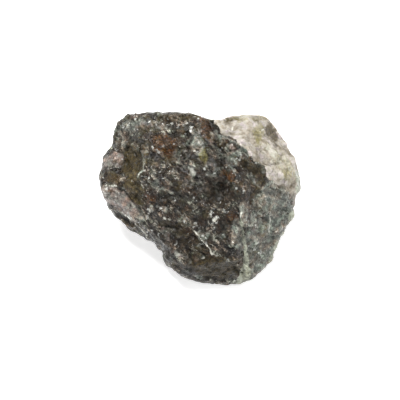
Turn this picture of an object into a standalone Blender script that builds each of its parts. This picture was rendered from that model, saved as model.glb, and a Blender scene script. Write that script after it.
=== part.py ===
"""A rough iolite crystal: one broken lump of cordierite with a corner of pale quartz, at its real size.

Metres, +Z up. The lump lies on a flat spot with its broad face leaning back from -Y. Its outline is
drawn square to that face. A blank with that outline is broken along planes, its skin is chipped and
stepped along the layers of the rock, and the named hollows are pressed into the broad face.

The shape is worked in millimetres in the broad face's own directions (right, up along the face, out
of it) and turned and moved to its place in metres at the end. The origin is the middle of the lump's
footprint box, on the surface it rests on.
"""

import math

import bmesh
import bpy
import numpy as np
from mathutils import Matrix, Vector, noise

NAME = "iolite_crystal"
MM = 0.001

# Driving sizes of the lump, in millimetres.
FACE_WIDTH = 49.5
BULGE = 17.0
FULLNESS = 2.7
REST_DEPTH = 12.6
FACE_ELEVATION = math.radians(60.0)

# The roughness of its skin, in millimetres: how far apart and how high.
LUMP_SIZE, LUMP_RISE = 9.0, 0.55
FLAKE_SIZE, FLAKE_RISE = 5.2, 1.15
CHIP_SIZE, CHIP_RISE = 2.3, 0.75
LAYER_PITCH, LAYER_RISE = 3.1, 0.42
LAYERS_FACE = Vector((0.70, 0.66, 0.28)).normalized()
LAYER_CLIMB = 0.78
BEND_SIZE, BEND_REACH = 6.0, 0.7
EVEN_SIZE, EVEN_LEAST, EVEN_SPREAD = 11.0, 0.55, 0.45
EVEN_SHIFT = Vector((3.1, 7.7, 1.9))

# How far the rims of the hollows wander, in millimetres, and where the noise for it starts.
WANDER_SIZE, WANDER_REACH = 3.0, 0.7
NOISE_SEED = 5

# How finely it is worked.
BLANK_SUBDIVISIONS = 6
SKIN_CELL = 0.6
SOFTENING_PASSES = 2
TRIANGLES = 9800
MERGE = 0.02
SHARP_ANGLE = math.radians(50.0)

# The broad face: to its right, up along it as it leans, and out of it.
FACE = Matrix((
    (1.0, 0.0, 0.0),
    (0.0, math.sin(FACE_ELEVATION), math.cos(FACE_ELEVATION)),
    (0.0, -math.cos(FACE_ELEVATION), math.sin(FACE_ELEVATION)),
))

# The outline square to the broad face, anticlockwise from the right, as (right, up).
OUTLINE = (
    (24.2, 1.6), (24.8, 4.0), (24.2, 7.4), (23.6, 10.2), (22.7, 11.5), (21.8, 13.7), (20.7, 16.5),
    (18.2, 19.5), (15.8, 20.6), (12.6, 20.4), (8.0, 20.0), (5.2, 19.3), (2.4, 19.2), (0.9, 20.0),
    (-1.2, 20.9), (-4.2, 21.4), (-9.9, 21.3), (-15.4, 21.2), (-18.8, 21.2), (-21.1, 19.6),
    (-21.9, 17.5), (-21.9, 14.4), (-22.4, 12.2), (-24.0, 10.7), (-24.4, 9.4), (-24.5, 6.4),
    (-24.9, 4.2), (-24.3, 1.8), (-23.1, -0.5), (-22.0, -3.0), (-20.4, -4.8), (-17.9, -7.0),
    (-14.8, -8.7), (-11.3, -9.9), (-9.8, -11.1), (-8.4, -13.6), (-7.1, -16.4), (-4.2, -18.6),
    (-1.8, -20.3), (1.4, -21.2), (5.6, -21.6), (9.2, -21.9), (12.0, -21.4), (13.9, -19.9),
    (15.9, -18.2), (17.5, -16.7), (18.8, -14.0), (19.6, -11.0), (20.4, -8.3), (21.6, -5.9),
    (23.2, -3.5), (23.7, -0.8),
)

# Where the lump broke off flat: the way each break faces and how far it is from the middle.
BREAKS = {
    "table": ((-0.07, 0.52, 0.85), 13.8),
    "table front": ((-0.04, 0.09, 0.99), 12.9),
    "front slope": ((-0.05, -0.27, 0.96), 11.8),
    "front low": ((0.07, -0.79, 0.61), 17.6),
    "left cheek": ((-0.45, -0.25, 0.86), 14.2),
    "left jaw": ((-0.64, -0.64, 0.42), 16.2),
    "left brow": ((-0.59, 0.35, 0.73), 18.0),
    "top left corner": ((-0.55, 0.62, 0.56), 23.0),
    "right slope": ((0.62, -0.30, 0.72), 16.0),
    "right low": ((0.76, -0.51, 0.40), 21.6),
    "quartz face": ((0.45, 0.30, 0.84), 16.6),
    "quartz shoulder": ((0.60, 0.50, 0.62), 20.1),
    "right edge": ((0.93, 0.10, 0.35), 23.6),
    "front foot": ((0.11, -0.98, -0.18), 22.0),
    "left underside": ((-0.66, -0.65, -0.37), 16.9),
    "left back": ((-0.85, -0.12, -0.51), 21.0),
    "right underside": ((0.78, -0.38, -0.49), 19.8),
    "right back": ((0.81, 0.01, -0.58), 20.3),
    "back right": ((0.58, 0.39, -0.71), 18.4),
    "back": ((0.00, 0.64, -0.77), 15.5),
    "back left": ((-0.58, 0.39, -0.71), 19.4),
    "back top": ((0.07, 0.90, -0.44), 19.5),
    "low back": ((0.12, 0.20, -0.97), 13.5),
}

# Hollows pressed into the broad face: the middle (right, up), the half widths along and across, the
# way the long side runs (degrees from the right) and the depth.
HOLLOWS = {
    "left dish": ((-17.9, 8.4), (6.2, 4.3), 75.0, 1.5),
    "cheek scar": ((-16.0, -0.5), (4.5, 2.4), 20.0, 0.6),
    "middle hollow": ((4.7, 1.9), (4.2, 3.0), -55.0, 2.0),
    "hollow foot": ((7.2, -4.5), (3.4, 2.2), -70.0, 1.0),
    "low chip": ((-3.5, -13.0), (4.6, 3.0), -40.0, 0.9),
    "table dip": ((-6.5, 11.5), (5.0, 3.4), -30.0, 0.8),
    "brow notch": ((-20.8, 14.6), (2.6, 1.8), 30.0, 0.9),
}

# Clefts along the broad face: the line they follow, half width and depth.
CLEFTS = {
    "cleft": (((2.2, 20.0), (3.6, 16.5), (5.6, 9.5), (7.4, 5.0), (6.0, 1.5)), 1.3, 1.5),
    "vein gutter": (((9.6, -2.0), (10.2, -8.0), (10.3, -14.5), (11.0, -21.0)), 1.0, 0.7),
    "jaw crease": (((-20.5, -1.6), (-17.2, -5.6), (-12.5, -9.6)), 0.9, 0.5),
}

# Where the dark rock laps over the pale quartz: the line of the step and its height.
QUARTZ_LINE = ((4.0, 22.0), (4.6, 18.8), (9.6, 15.2), (14.6, 10.6), (17.0, 6.4), (18.2, 2.4), (25.5, 2.0))
QUARTZ_STEP = 1.0
STEP_WIDTH = 0.9


def outline_radius(angles):
    """The outline's distance from its middle at each angle from the right."""
    scale = FACE_WIDTH / (max(p[0] for p in OUTLINE) - min(p[0] for p in OUTLINE))
    bearings = [math.atan2(up, right) for right, up in OUTLINE]
    radii = [scale * math.hypot(right, up) for right, up in OUTLINE]
    return np.interp(angles, bearings, radii, period=2 * math.pi)


def blank():
    """A pillow with the outline of the broad face."""
    bm = bmesh.new()
    bmesh.ops.create_icosphere(bm, subdivisions=BLANK_SUBDIVISIONS, radius=1.0)
    for vert in bm.verts:
        ray = vert.co.normalized()
        radius = float(outline_radius(math.atan2(ray.y, ray.x)))
        share = (math.hypot(ray.x, ray.y) / radius) ** FULLNESS + (abs(ray.z) / BULGE) ** FULLNESS
        vert.co = ray * share ** (-1.0 / FULLNESS)
    return bm


def break_off(bm, facing, distance):
    """Takes away what lies past a plane and closes the flat break that is left."""
    normal = Vector(facing).normalized()
    bmesh.ops.bisect_plane(
        bm,
        geom=bm.verts[:] + bm.edges[:] + bm.faces[:],
        plane_co=normal * distance,
        plane_no=normal,
        clear_outer=True,
    )
    rim = [edge for edge in bm.edges if edge.is_boundary]
    if rim:
        bmesh.ops.edgeloop_fill(bm, edges=rim)


def object_of(bm, name):
    """A scene object that holds this bmesh."""
    mesh = bpy.data.meshes.new(name)
    bm.to_mesh(mesh)
    bm.free()
    obj = bpy.data.objects.new(name, mesh)
    bpy.context.scene.collection.objects.link(obj)
    return obj


def evaluated(obj):
    """A bmesh of the object with its modifiers carried out; the object itself is removed."""
    bm = bmesh.new()
    bm.from_object(obj, bpy.context.evaluated_depsgraph_get())
    bpy.data.objects.remove(obj)
    return bm


def skin(bm):
    """The lump as an even skin of small cells, with its break edges worn a little round."""
    lump = object_of(bm, "lump")
    remesh = lump.modifiers.new("even skin", "REMESH")
    remesh.mode = "VOXEL"
    remesh.voxel_size = SKIN_CELL
    smooth = lump.modifiers.new("worn edges", "SMOOTH")
    smooth.factor = 0.5
    smooth.iterations = SOFTENING_PASSES
    return evaluated(lump)


def facet_height(place, size):
    """The height of a surface of flat cells of about this size, each tilted its own way."""
    middle = noise.voronoi(place / size)[1][0]
    tilt = noise.cell_vector(middle * 9.7) - Vector((0.5, 0.5, 0.5))
    return tilt.dot(place / size - middle)


def layer_height(place):
    """The height of worn ledges that climb slowly and drop off quickly across the rock's layers."""
    along = place.dot(LAYERS_FACE) / LAYER_PITCH + BEND_REACH * noise.noise(place / BEND_SIZE)
    climb = along % 1.0
    if climb < LAYER_CLIMB:
        return climb / LAYER_CLIMB - 0.5
    return (1.0 - climb) / (1.0 - LAYER_CLIMB) - 0.5


def roughen(bm):
    """Chips and ledges over the whole skin."""
    for vert in bm.verts:
        place = vert.co.copy()
        strength = EVEN_LEAST + EVEN_SPREAD * noise.noise(place / EVEN_SIZE + EVEN_SHIFT)
        rise = LUMP_RISE * noise.noise(place / LUMP_SIZE)
        rise += FLAKE_RISE * facet_height(place, FLAKE_SIZE)
        rise += CHIP_RISE * strength * facet_height(place, CHIP_SIZE)
        rise += LAYER_RISE * strength * layer_height(place)
        vert.co += vert.normal * rise


def smoothstep(share):
    """Eases from 0 to 1."""
    share = min(max(share, 0.0), 1.0)
    return share * share * (3.0 - 2.0 * share)


def from_line(line, place):
    """How far a spot on the broad face is from a line, and which side it is on (left is positive)."""
    best, side = math.inf, 1.0
    for start, end in zip(line, line[1:]):
        run = Vector(end) - Vector(start)
        away = Vector(place) - Vector(start)
        share = min(max(away.dot(run) / run.length_squared, 0.0), 1.0)
        distance = (away - run * share).length
        if distance < best:
            best = distance
            side = 1.0 if run.x * away.y - run.y * away.x > 0 else -1.0
    return best, side


def hollow_depth(spot):
    """How deep the named hollows and clefts are at a spot on the broad face."""
    depth = 0.0
    for middle, (along, across), turn, deep in HOLLOWS.values():
        away = Matrix.Rotation(-math.radians(turn), 2) @ (spot - Vector(middle))
        share = math.hypot(away.x / along, away.y / across)
        depth += deep * (1.0 - smoothstep(share))
    for line, half_width, deep in CLEFTS.values():
        depth += deep * (1.0 - smoothstep(from_line(line, spot)[0] / half_width))
    distance, side = from_line(QUARTZ_LINE, spot)
    depth += QUARTZ_STEP * smoothstep(0.5 + side * distance / STEP_WIDTH)
    return depth


def press_hollows(bm):
    """Presses the hollows, the clefts and the quartz step into the side that the broad face shows."""
    for vert in bm.verts:
        if vert.normal.z > 0.0:
            wander = noise.noise_vector(vert.co / WANDER_SIZE) * WANDER_REACH
            spot = Vector((vert.co.x + wander.x, vert.co.y + wander.y))
            vert.co.z -= hollow_depth(spot) * smoothstep(vert.normal.z / 0.35)


def lightened(bm):
    """The lump with fewer triangles, larger where its surface is flat."""
    lump = object_of(bm, "lump")
    lump.modifiers.new("triangles", "TRIANGULATE")
    thin = lump.modifiers.new("fewer triangles", "DECIMATE")
    thin.ratio = TRIANGLES / (2 * len(lump.data.polygons))
    return evaluated(lump)


def rest_flat(bm):
    """Breaks the lump off flat where it rests and tidies the rim of the cut."""
    break_off(bm, FACE @ Vector((0, 0, -1)), REST_DEPTH)
    bmesh.ops.remove_doubles(bm, verts=bm.verts, dist=MERGE)
    bmesh.ops.dissolve_degenerate(bm, edges=bm.edges, dist=MERGE)
    bmesh.ops.triangulate(bm, faces=bm.faces)
    bmesh.ops.recalc_face_normals(bm, faces=bm.faces)


def stand_up(bm):
    """Turns the lump from its face's directions to the room's and puts it over the origin, in metres."""
    bmesh.ops.transform(bm, matrix=FACE.transposed().to_4x4(), verts=bm.verts)
    low = [min(v.co[i] for v in bm.verts) for i in range(3)]
    high = [max(v.co[i] for v in bm.verts) for i in range(3)]
    middle = Vector(((low[0] + high[0]) / 2, (low[1] + high[1]) / 2, low[2]))
    bmesh.ops.transform(bm, matrix=Matrix.Scale(MM, 4) @ Matrix.Translation(-middle), verts=bm.verts)


def stone_material():
    """Dark grey-brown rock with a faint gloss."""
    material = bpy.data.materials.new(NAME)
    material.use_nodes = True
    shader = material.node_tree.nodes["Principled BSDF"]
    shader.inputs["Base Color"].default_value = (0.060, 0.054, 0.044, 1.0)
    shader.inputs["Roughness"].default_value = 0.5
    return material


def main():
    for obj in list(bpy.data.objects):
        bpy.data.objects.remove(obj)
    noise.seed_set(NOISE_SEED)
    bm = blank()
    for facing, distance in BREAKS.values():
        break_off(bm, facing, distance)
    bm = skin(bm)
    bm.normal_update()
    roughen(bm)
    bm.normal_update()
    press_hollows(bm)
    bmesh.ops.smooth_vert(bm, verts=bm.verts, factor=0.35, use_axis_x=True, use_axis_y=True, use_axis_z=True)
    bm = lightened(bm)
    rest_flat(bm)
    stand_up(bm)
    stone = object_of(bm, NAME)
    stone.data.materials.append(stone_material())
    stone.data.shade_smooth()
    stone.data.set_sharp_from_angle(angle=SHARP_ANGLE)


main()
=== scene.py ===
"""Dresses the rough iolite lump: its broken surface, its minerals and stains, and the light it is seen in.

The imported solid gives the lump's size, place and main breaks. One piece replaces it: the same lump with
a finer skin, chipped, stepped and cracked in millimetres, and one material that knows by attributes on
the mesh where the quartz, the schist, the vein, the felspar and the rust are.

Marks on the broad face are placed in millimetres from the lump's middle: to the right, up along the
face, and out of it. The face leans back from -Y.
"""

import logging
import math
from collections.abc import Callable
from dataclasses import dataclass, field
from enum import Enum

import bpy
import numpy as np
from mathutils import Matrix, Vector, noise


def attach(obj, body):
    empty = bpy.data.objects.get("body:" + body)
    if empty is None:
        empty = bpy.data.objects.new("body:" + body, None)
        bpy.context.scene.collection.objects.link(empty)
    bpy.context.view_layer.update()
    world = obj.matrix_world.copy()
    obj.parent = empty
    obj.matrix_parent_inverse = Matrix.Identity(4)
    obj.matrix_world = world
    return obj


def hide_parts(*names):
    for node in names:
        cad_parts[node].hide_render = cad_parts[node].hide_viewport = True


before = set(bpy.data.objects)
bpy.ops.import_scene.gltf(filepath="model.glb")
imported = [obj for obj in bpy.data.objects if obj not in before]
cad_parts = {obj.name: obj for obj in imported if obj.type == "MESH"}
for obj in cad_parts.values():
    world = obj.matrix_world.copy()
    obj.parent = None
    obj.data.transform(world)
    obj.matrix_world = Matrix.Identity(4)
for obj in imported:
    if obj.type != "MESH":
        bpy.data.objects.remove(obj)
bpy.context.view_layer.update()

LOG = logging.getLogger("iolite")

NODE = "iolite_crystal"
MM = 0.001

# Spreads the middles of neighbouring cells far enough apart for their tilts to have nothing in common.
TILT_SPREAD = 9.7

Point = tuple[float, float]


class Mineral(Enum):
    """What a patch of the surface is made of, some with painted shade, highlights and glints in it too;
    each has an attribute of this name on the mesh.
    """

    QUARTZ = "quartz"
    SCHIST = "schist"
    VEIN = "vein"
    FELSPAR = "felspar"
    LIMONITE = "limonite"
    RUST = "rust"
    SMOKE = "smoke_and_shade"
    GLINT = "glint"
    STAIN = "stain"
    SCRATCH_AND_HIGHLIGHT = "scratch_and_highlight"


@dataclass(frozen=True)
class BroadFace:
    """The directions that marks are placed in: right, up along the leaning face, and out of it."""

    elevation: float = math.radians(60.0)
    middle: tuple[float, float, float] = (0.08, -0.38, 12.6)

    @property
    def axes(self) -> Matrix:
        """The face's directions as the rows of a matrix, in the room's."""
        sine, cosine = math.sin(self.elevation), math.cos(self.elevation)
        return Matrix(((1.0, 0.0, 0.0), (0.0, sine, cosine), (0.0, -cosine, sine)))

    def from_room(self, points: np.ndarray) -> np.ndarray:
        """Turns places in the room into places on the face.

        Args:
            points: An array of (x, y, z) rows in metres.

        Returns:
            An array of (right, up, out) rows in millimetres.
        """
        return (points / MM - np.array(self.middle)) @ np.array(self.axes).T

    def to_room(self, place: Vector) -> Vector:
        """Turns a place on the face, in millimetres, into a place in the room, in metres."""
        return (self.axes.transposed() @ place + Vector(self.middle)) * MM


FACE = BroadFace()


@dataclass(frozen=True)
class Patch:
    """An oval mark on the broad face.

    It has a mineral, a middle and half widths in millimetres, a turn in degrees and a strength.
    """

    mineral: Mineral
    middle: Point
    half: Point
    turn: float = 0.0
    strength: float = 1.0


@dataclass(frozen=True)
class Streak:
    """A line of one mineral along the broad face.

    It has a mineral, points and a half width at each end in millimetres, and a strength.
    """

    mineral: Mineral
    line: tuple[Point, ...]
    half_widths: Point
    strength: float = 1.0


@dataclass(frozen=True)
class Cut:
    """A groove along a line on the broad face, or a ridge where its depth is negative.

    It has points, a half width and a depth, in millimetres.
    """

    line: tuple[Point, ...]
    half_width: float
    depth: float


@dataclass(frozen=True)
class Scatter:
    """Small natural patches of one mineral, all round the lump.

    They have a mineral, a size in millimetres, the noise's level where they start, a strength, and a
    shift that gives them places of their own.
    """

    mineral: Mineral
    size: float
    start: float
    strength: float
    shift: tuple[float, float, float]


PATCHES = (
    # Red-brown rust, from the top left to the bottom right.
    Patch(Mineral.RUST, (-8.7, 12.9), (2.9, 2.9), -20.0, 1.05),
    Patch(Mineral.RUST, (1.5, 17.4), (1.5, 3.2), 12.0, 0.95),
    Patch(Mineral.RUST, (7.4, 5.3), (2.6, 1.0), -36.0, 1.50),
    Patch(Mineral.RUST, (13.2, 10.2), (0.7, 1.0), 10.0, 1.60),
    Patch(Mineral.RUST, (7.7, -4.4), (1.2, 1.8), -20.0, 0.75),
    Patch(Mineral.RUST, (-12.3, -0.4), (1.7, 1.5), 20.0, 0.70),
    Patch(Mineral.RUST, (-2.9, -7.6), (1.6, 2.6), 20.0, 0.55),
    Patch(Mineral.RUST, (1.4, -16.0), (3.6, 1.2), -12.0, 0.55),
    Patch(Mineral.RUST, (12.4, -2.6), (1.6, 1.9), 0.0, 0.55),
    Patch(Mineral.RUST, (-21.2, 5.0), (2.0, 1.5), -20.0, 0.45),
    Patch(Mineral.RUST, (-7.6, -4.2), (3.4, 1.2), -10.0, 0.45),
    Patch(Mineral.RUST, (-4.4, 3.0), (2.4, 1.4), -20.0, 0.40),
    Patch(Mineral.RUST, (8.6, 19.3), (1.2, 1.1), 0.0, 0.90),
    Patch(Mineral.RUST, (-6.0, -11.6), (2.4, 2.0), -20.0, 0.40),
    # Olive-brown weathering, where the surface is smoother.
    Patch(Mineral.LIMONITE, (-21.2, 5.0), (2.2, 1.8), -20.0, 0.90),
    Patch(Mineral.LIMONITE, (-16.6, 8.6), (2.7, 4.8), 10.0, 1.30),
    Patch(Mineral.LIMONITE, (-16.0, 1.8), (2.4, 4.0), 24.0, 1.05),
    Patch(Mineral.LIMONITE, (-14.0, 12.8), (3.2, 1.6), -10.0, 0.55),
    Patch(Mineral.LIMONITE, (-7.4, 10.8), (3.0, 2.2), 0.0, 0.60),
    Patch(Mineral.LIMONITE, (-4.0, 20.0), (9.0, 1.2), 0.0, 0.70),
    Patch(Mineral.LIMONITE, (1.0, 9.6), (1.5, 2.0), 0.0, 0.70),
    Patch(Mineral.LIMONITE, (17.8, 16.4), (1.4, 2.9), 36.0, 1.60),
    Patch(Mineral.LIMONITE, (8.0, 19.5), (2.2, 0.8), 8.0, 1.40),
    Patch(Mineral.LIMONITE, (4.0, -17.0), (6.6, 2.8), -5.0, 1.15),
    Patch(Mineral.LIMONITE, (20.5, 2.7), (1.6, 1.2), 0.0, 0.90),
    Patch(Mineral.LIMONITE, (23.2, 0.8), (0.7, 4.4), 0.0, 0.70),
    Patch(Mineral.LIMONITE, (4.6, 1.0), (4.4, 3.4), -20.0, 0.50),
    Patch(Mineral.LIMONITE, (-1.6, -12.0), (5.0, 3.6), -20.0, 0.45),
    Patch(Mineral.LIMONITE, (-19.6, 12.8), (1.6, 2.0), 0.0, 0.45),
    Patch(Mineral.LIMONITE, (12.8, 7.6), (2.9, 1.8), -25.0, 1.05),
    Patch(Mineral.LIMONITE, (5.6, 13.4), (2.6, 1.4), -35.0, 0.65),
    # Yellow-green stain, mostly in the quartz.
    Patch(Mineral.STAIN, (14.4, 15.6), (1.3, 3.2), 5.0, 0.85),
    Patch(Mineral.STAIN, (12.0, 19.8), (4.6, 1.0), 0.0, 0.65),
    Patch(Mineral.STAIN, (18.8, 10.2), (1.4, 4.6), 32.0, 0.55),
    Patch(Mineral.STAIN, (21.4, 7.4), (1.5, 4.2), 16.0, 0.85),
    Patch(Mineral.STAIN, (0.9, 10.2), (1.3, 1.7), 0.0, 0.75),
    Patch(Mineral.STAIN, (11.2, -18.8), (1.3, 1.8), 0.0, 0.35),
    Patch(Mineral.STAIN, (15.8, -8.0), (1.2, 2.0), 0.0, 0.30),
    # Dark smoky colour: painted shade in the hollow and the cleft, and dark rock on the steps round them,
    # the foot and two grains.
    Patch(Mineral.SMOKE, (3.9, 2.6), (4.9, 4.2), -20.0, 1.00),
    Patch(Mineral.SMOKE, (4.0, 9.4), (3.4, 2.0), -32.0, 1.15),
    Patch(Mineral.SMOKE, (2.2, 17.6), (1.9, 2.8), 12.0, 0.70),
    Patch(Mineral.SMOKE, (7.0, 15.6), (2.0, 0.7), -32.0, 0.70),
    Patch(Mineral.SMOKE, (-11.6, 3.4), (2.6, 1.8), 0.0, 0.60),
    Patch(Mineral.SMOKE, (-6.6, -0.6), (1.6, 1.0), 0.0, 0.55),
    Patch(Mineral.SMOKE, (-9.4, -4.6), (3.6, 2.4), -30.0, 0.75),
    Patch(Mineral.SMOKE, (7.4, 8.0), (3.0, 1.6), -38.0, 0.50),
    Patch(Mineral.SMOKE, (12.9, 7.4), (3.0, 1.8), -20.0, 0.90),
    Patch(Mineral.SMOKE, (5.8, -6.6), (1.6, 1.4), 30.0, 0.50),
    Patch(Mineral.SMOKE, (-5.0, -9.4), (3.6, 2.8), -20.0, 0.85),
    Patch(Mineral.SMOKE, (4.6, -16.6), (6.2, 2.6), -4.0, 0.62),
    Patch(Mineral.SMOKE, (-9.2, 3.6), (3.8, 1.9), -5.0, 0.50),
    Patch(Mineral.SMOKE, (-16.6, 9.6), (1.9, 3.2), 10.0, 0.35),
    Patch(Mineral.SMOKE, (-7.4, 5.9), (1.7, 1.2), 0.0, 0.55),
    Patch(Mineral.SMOKE, (-3.4, -17.4), (4.4, 1.8), -30.0, 0.75),
    Patch(Mineral.SMOKE, (-9.0, -12.6), (1.6, 4.0), 24.0, 0.60),
    Patch(Mineral.SMOKE, (-15.6, 16.4), (2.6, 1.4), -10.0, 0.65),
    Patch(Mineral.SMOKE, (-7.0, 2.6), (4.6, 1.4), -10.0, 0.60),
    Patch(Mineral.SMOKE, (-3.4, 0.2), (3.4, 1.4), -20.0, 0.55),
    Patch(Mineral.SMOKE, (13.5, -18.0), (0.5, 1.3), 0.0, 0.70),
    Patch(Mineral.SMOKE, (19.1, 13.1), (0.8, 0.35), -30.0, 0.90),
    # Pale grey-green schist.
    Patch(Mineral.SCHIST, (-0.6, 13.2), (1.7, 3.4), 10.0, 0.85),
    Patch(Mineral.SCHIST, (9.3, -8.4), (1.7, 4.6), 0.0, 0.78),
    Patch(Mineral.SCHIST, (10.9, -3.6), (1.1, 3.4), 0.0, 1.05),
    Patch(Mineral.SCHIST, (17.0, -2.0), (4.4, 3.6), 0.0, 1.10),
    Patch(Mineral.SCHIST, (21.4, -3.4), (2.2, 4.4), -14.0, 1.25),
    Patch(Mineral.SCHIST, (-1.9, 6.4), (1.1, 0.8), 0.0, 1.00),
    Patch(Mineral.SCHIST, (-16.2, 18.2), (3.2, 1.5), 20.0, 0.65),
    Patch(Mineral.SCHIST, (-10.4, 18.0), (2.6, 1.4), 0.0, 0.60),
    Patch(Mineral.SCHIST, (-19.4, 15.0), (1.2, 2.4), 10.0, 0.70),
    Patch(Mineral.SCHIST, (-13.5, 11.0), (1.2, 1.0), 20.0, 1.00),
    Patch(Mineral.SCHIST, (-8.4, -2.8), (1.0, 0.9), 0.0, 0.90),
    Patch(Mineral.SCHIST, (-5.8, 10.2), (1.4, 1.8), 30.0, 0.55),
    Patch(Mineral.SCHIST, (2.4, -9.0), (0.9, 0.9), 0.0, 0.90),
    Patch(Mineral.SCHIST, (4.9, -9.2), (1.1, 0.8), 20.0, 0.90),
    Patch(Mineral.SCHIST, (0.4, -11.4), (1.2, 0.6), 10.0, 0.90),
    Patch(Mineral.SCHIST, (0.6, -14.5), (1.0, 0.5), 15.0, 1.00),
    Patch(Mineral.SCHIST, (-0.4, -19.6), (1.2, 0.6), 0.0, 0.90),
    Patch(Mineral.SCHIST, (-15.8, -3.4), (3.0, 1.0), -40.0, 0.90),
    Patch(Mineral.SCHIST, (-8.6, 2.0), (2.8, 0.5), -5.0, 0.85),
    Patch(Mineral.SCHIST, (4.6, 15.2), (2.4, 1.0), -35.0, 0.65),
    Patch(Mineral.SCHIST, (8.6, 12.0), (2.9, 1.0), -32.0, 0.70),
    Patch(Mineral.SCHIST, (7.4, 9.4), (2.8, 1.0), -40.0, 0.60),
    Patch(Mineral.SCHIST, (13.6, 4.6), (2.6, 1.2), -30.0, 0.60),
    # Pinkish felspar: the smooth left facets and the pale grains low on the face.
    Patch(Mineral.FELSPAR, (-21.2, 9.5), (2.6, 2.0), 0.0, 1.10),
    Patch(Mineral.FELSPAR, (-19.6, -0.9), (5.8, 2.6), -40.0, 1.10),
    Patch(Mineral.FELSPAR, (-4.9, -13.7), (1.5, 1.0), -30.0, 1.10),
    Patch(Mineral.FELSPAR, (8.1, 12.7), (0.9, 0.7), 0.0, 1.30),
    Patch(Mineral.FELSPAR, (-7.6, -10.2), (0.5, 0.8), 20.0, 0.90),
    Patch(Mineral.FELSPAR, (6.9, -18.0), (0.9, 0.4), 0.0, 0.80),
    Patch(Mineral.FELSPAR, (-14.2, 18.6), (1.2, 0.8), 0.0, 0.70),
    Patch(Mineral.FELSPAR, (-9.2, -7.8), (0.9, 0.6), 0.0, 0.70),
    # Places with more bright grains and painted glints.
    Patch(Mineral.GLINT, (2.6, -3.2), (1.0, 1.2), -20.0, 1.00),
    Patch(Mineral.GLINT, (4.0, -5.2), (1.3, 1.1), -20.0, 1.00),
    Patch(Mineral.GLINT, (6.2, -3.0), (1.8, 1.0), 40.0, 0.70),
    Patch(Mineral.GLINT, (-2.0, 16.6), (0.7, 1.0), 0.0, 1.00),
    Patch(Mineral.GLINT, (-17.8, 18.0), (1.4, 0.8), 40.0, 0.60),
    Patch(Mineral.GLINT, (-12.6, -3.3), (0.9, 0.9), -30.0, 0.60),
    Patch(Mineral.GLINT, (-9.0, 6.6), (2.4, 1.4), 0.0, 0.35),
    Patch(Mineral.GLINT, (3.2, 6.4), (2.2, 1.8), 0.0, 0.40),
    Patch(Mineral.GLINT, (-0.2, -19.6), (1.6, 0.7), 0.0, 1.00),
    Patch(Mineral.GLINT, (14.6, -13.0), (1.6, 0.8), 0.0, 0.90),
    Patch(Mineral.GLINT, (-14.6, 5.0), (1.4, 1.4), 30.0, 0.25),
    Patch(Mineral.GLINT, (-0.4, 12.4), (1.0, 1.8), 0.0, 0.50),
    # Whitish marks: the clear band in the quartz, single pale grains, and painted glints.
    Patch(Mineral.SCRATCH_AND_HIGHLIGHT, (17.9, 11.2), (1.2, 2.4), 25.0, 0.50),
    Patch(Mineral.SCRATCH_AND_HIGHLIGHT, (19.2, 8.0), (1.4, 3.6), 24.0, 0.40),
    Patch(Mineral.SCRATCH_AND_HIGHLIGHT, (21.6, 8.6), (0.7, 2.4), 25.0, 0.50),
    Patch(Mineral.SCRATCH_AND_HIGHLIGHT, (15.5, 16.9), (0.3, 0.3), 0.0, 1.00),
    Patch(Mineral.SCRATCH_AND_HIGHLIGHT, (8.0, 17.1), (0.5, 0.4), 0.0, 0.80),
    Patch(Mineral.SCRATCH_AND_HIGHLIGHT, (-1.9, 6.5), (0.8, 0.6), 0.0, 0.60),
    Patch(Mineral.SCRATCH_AND_HIGHLIGHT, (-12.4, -3.2), (0.4, 0.4), 0.0, 0.80),
    Patch(Mineral.SCRATCH_AND_HIGHLIGHT, (-5.0, -13.6), (1.2, 0.8), -30.0, 0.52),
    Patch(Mineral.SCRATCH_AND_HIGHLIGHT, (0.6, -14.5), (0.7, 0.3), 15.0, 0.70),
    # Two painted glints in the bright cluster low in the middle.
    Patch(Mineral.SCRATCH_AND_HIGHLIGHT, (3.9, -5.1), (0.7, 0.6), 0.0, 0.70),
    Patch(Mineral.SCRATCH_AND_HIGHLIGHT, (2.4, -3.1), (0.5, 0.5), 0.0, 0.70),
)

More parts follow.
